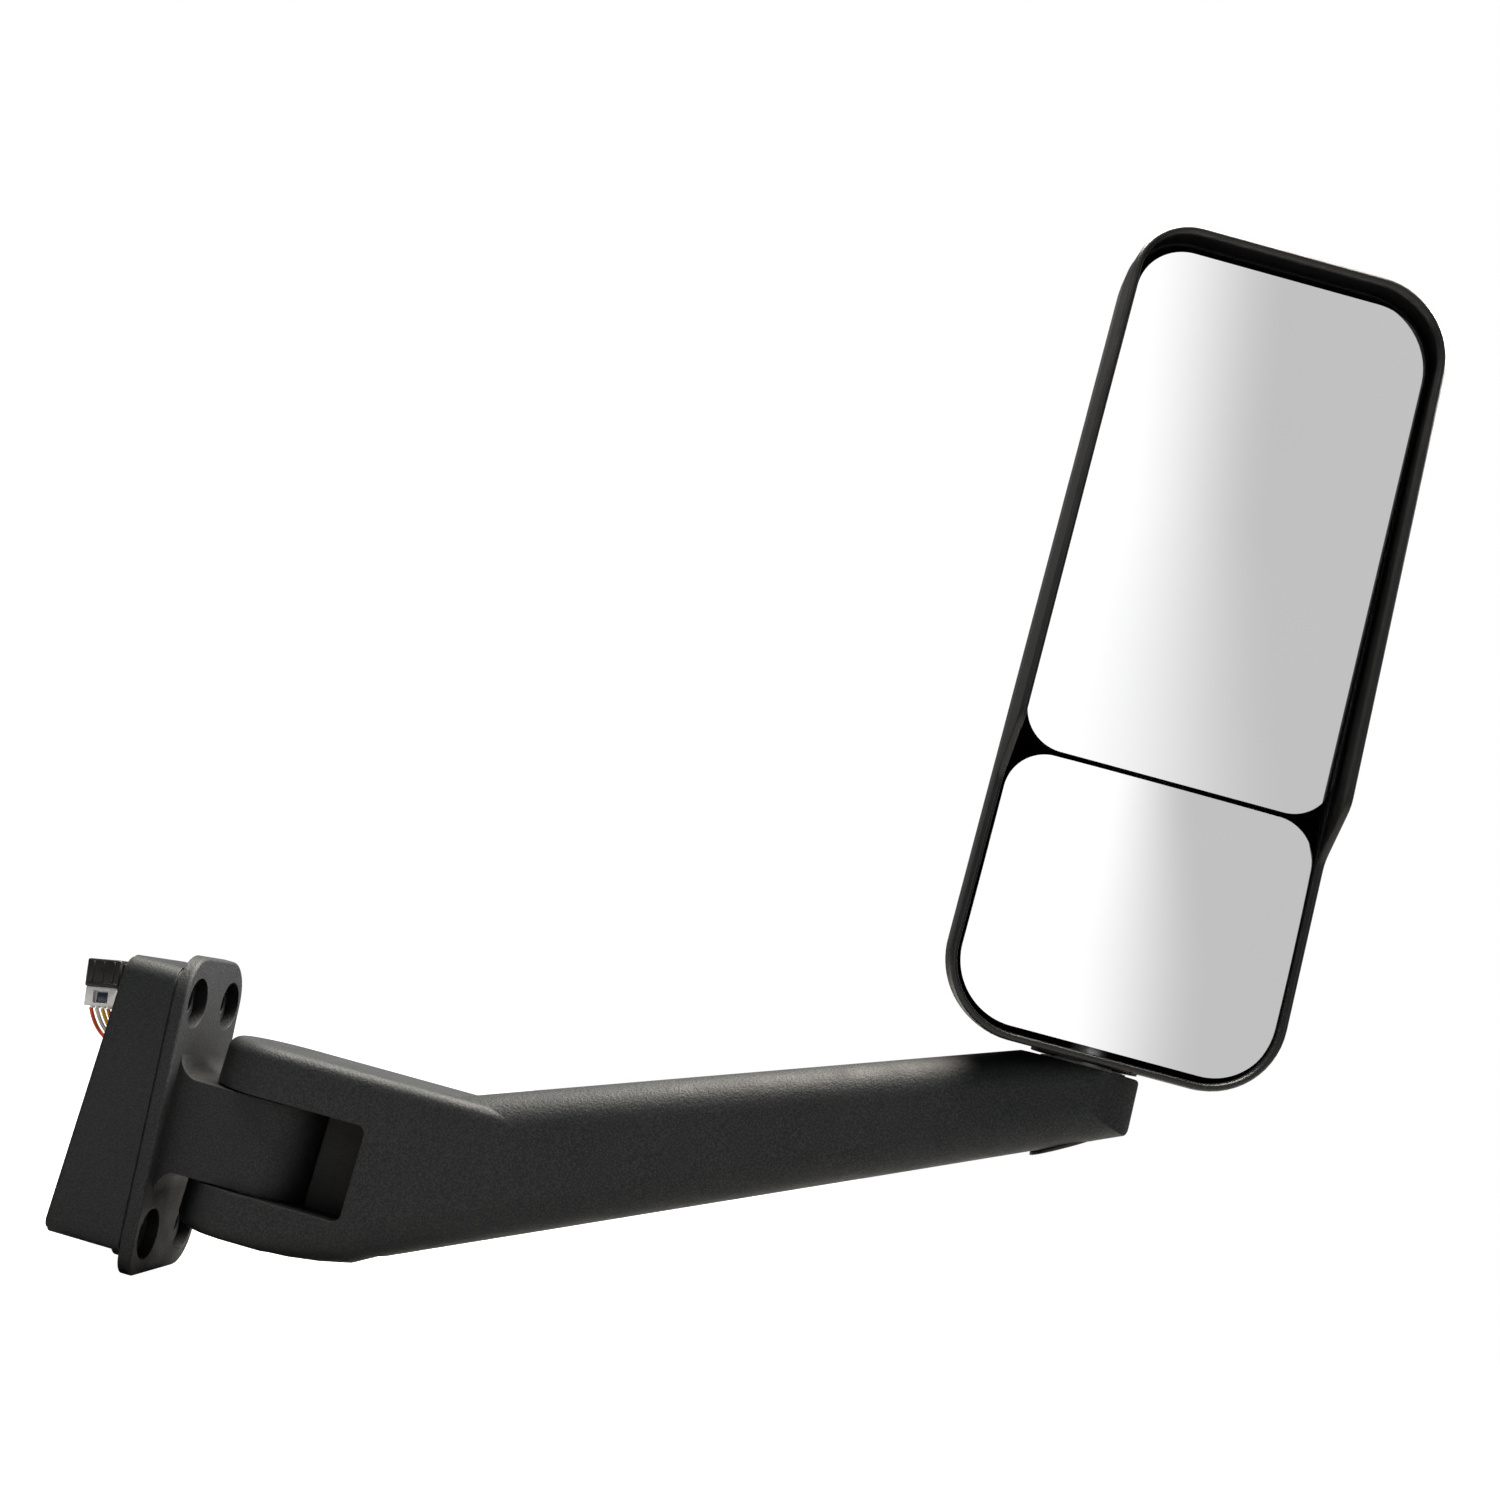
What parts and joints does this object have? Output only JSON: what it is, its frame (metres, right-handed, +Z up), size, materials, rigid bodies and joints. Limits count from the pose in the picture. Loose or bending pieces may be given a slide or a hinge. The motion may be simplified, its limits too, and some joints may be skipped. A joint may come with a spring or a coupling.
{
  "type": "towing mirror",
  "caption": "Truck towing mirror: bolt-on base, folding rising arm, and tall swivelling head with a flat powered glass over a convex spotter glass",
  "frame": {"origin": "on the cab wall face, at the centre of the four mounting bolts", "axes": "+X outboard from the cab wall, +Y toward the front of the truck, +Z up"},
  "size_m": [0.6709, 0.1156, 0.722],
  "materials": {
    "cast_black": "fine textured black powder coat on a casting",
    "plastic_black": "fine grained black moulding",
    "plastic_satin": "satin black moulding",
    "rubber_black": "matte black rubber",
    "steel_zinc": "zinc plated steel",
    "bronze": "sintered bronze",
    "brass": "bright brass",
    "mirror_face": "silvered flat or convex mirror glass",
    "heater_foil": "amber heater foil",
    "plastic_white": "off white nylon",
    "plastic_natural": "natural acetal",
    "wire_red": "soft PVC insulation, orange red",
    "wire_white": "soft PVC insulation, white",
    "wire_yellow": "soft PVC insulation, yellow",
    "wire_amber": "soft PVC insulation, amber",
    "wire_black": "soft PVC insulation, black"
  },
  "bodies": {
    "base": {"base_bracket": "cast_black", "mounting_block": "plastic_black", "base_gasket": "rubber_black", "block_screws": "steel_zinc", "harness_grommet": "rubber_black", "base_harness": "rubber_black", "hinge_bush_upper": "bronze", "hinge_bush_lower": "bronze", "thrust_washer_upper": "plastic_natural", "thrust_washer_lower": "plastic_natural", "connector_clip": "plastic_satin", "connector_housing": "plastic_satin", "connector_lock": "plastic_white", "connector_terminals": "brass", "wire_red": "wire_red", "wire_white": "wire_white", "wire_yellow": "wire_yellow", "wire_amber": "wire_amber", "wire_black": "wire_black"},
    "arm": {"arm_casting": "cast_black", "hinge_pin": "steel_zinc", "hinge_nut": "steel_zinc", "hinge_springs": "steel_zinc", "hinge_cap": "plastic_satin", "swivel_bush": "bronze", "swivel_washer": "plastic_natural", "swivel_cover": "plastic_satin", "arm_harness": "rubber_black"},
    "head": {"head_bezel": "plastic_satin", "head_shell": "plastic_black", "bezel_clips": "steel_zinc", "head_bracket": "steel_zinc", "shell_screws": "steel_zinc", "swivel_post": "steel_zinc", "swivel_nut": "steel_zinc", "post_nut": "steel_zinc", "swivel_springs": "steel_zinc", "actuator_housing": "plastic_satin", "actuator_cover": "plastic_satin", "actuator_screws": "steel_zinc", "pan_motor": "steel_zinc", "tilt_motor": "steel_zinc", "lower_pivot_base": "plastic_satin", "head_harness": "rubber_black"},
    "pan_plunger_body": {"pan_plunger": "plastic_natural"},
    "tilt_plunger_body": {"tilt_plunger": "plastic_natural"},
    "pan_gear_body": {"pan_gear": "plastic_natural"},
    "tilt_gear_body": {"tilt_gear": "plastic_natural"},
    "upper_spider_body": {"upper_spider": "plastic_natural"},
    "upper_glass_body": {"upper_glass": "mirror_face", "heater_pad": "heater_foil", "upper_backing": "plastic_satin"},
    "lower_spider_body": {"lower_spider": "plastic_natural"},
    "lower_glass_body": {"lower_glass": "mirror_face", "lower_backing": "plastic_satin"}
  },
  "joints": [
    {"name": "arm_fold", "type": "hinge", "parent": "base", "child": "arm", "pos_m": [0.096, 0, 0], "axis": [0, 0, 1], "range_deg": [-85, 70]},
    {"name": "head_swivel", "type": "hinge", "parent": "arm", "child": "head", "pos_m": [0.532, 0, 0.15], "axis": [0, 0, 1], "range_deg": [-30, 30]},
    {"name": "upper_glass_pan", "type": "hinge", "parent": "head", "child": "upper_spider_body", "pos_m": [0.53517, -0.02581, 0.4723], "axis": [0, 0, 1], "range_deg": [-5, 5]},
    {"name": "upper_glass_tilt", "type": "hinge", "parent": "upper_spider_body", "child": "upper_glass_body", "pos_m": [0.53517, -0.02581, 0.4723], "axis": [0.9925, 0.1219, 0], "range_deg": [-5, 5]},
    {"name": "lower_glass_pan", "type": "hinge", "parent": "head", "child": "lower_spider_body", "pos_m": [0.53432, -0.01886, 0.24365], "axis": [0, 0, 1], "range_deg": [-4, 4]},
    {"name": "lower_glass_tilt", "type": "hinge", "parent": "lower_spider_body", "child": "lower_glass_body", "pos_m": [0.53432, -0.01886, 0.24365], "axis": [0.9925, 0.1219, 0], "range_deg": [-4, 4]},
    {"name": "pan_plunger_slide", "type": "slide", "parent": "head", "child": "pan_plunger_body", "axis": [-0.1219, 0.9925, 0], "range_m": [-0.0027, 0.0027]},
    {"name": "tilt_plunger_slide", "type": "slide", "parent": "head", "child": "tilt_plunger_body", "axis": [-0.1219, 0.9925, 0], "range_m": [-0.0027, 0.0027]},
    {"name": "pan_gear_spin", "type": "hinge", "parent": "head", "child": "pan_gear_body", "pos_m": [0.56178, 0.00366, 0.4723], "axis": [-0.1219, 0.9925, 0], "range_deg": [-240, 240]},
    {"name": "tilt_gear_spin", "type": "hinge", "parent": "head", "child": "tilt_gear_body", "pos_m": [0.532, 0, 0.5023], "axis": [-0.1219, 0.9925, 0], "range_deg": [-240, 240]}
  ],
  "couplings": [
    {"joint": "pan_plunger_slide", "follows": "upper_glass_pan", "m_per_rad": 0.03},
    {"joint": "tilt_plunger_slide", "follows": "upper_glass_tilt", "m_per_rad": -0.03},
    {"joint": "pan_gear_spin", "follows": "upper_glass_pan", "ratio": 47.124},
    {"joint": "tilt_gear_spin", "follows": "upper_glass_tilt", "ratio": -47.124}
  ]
}
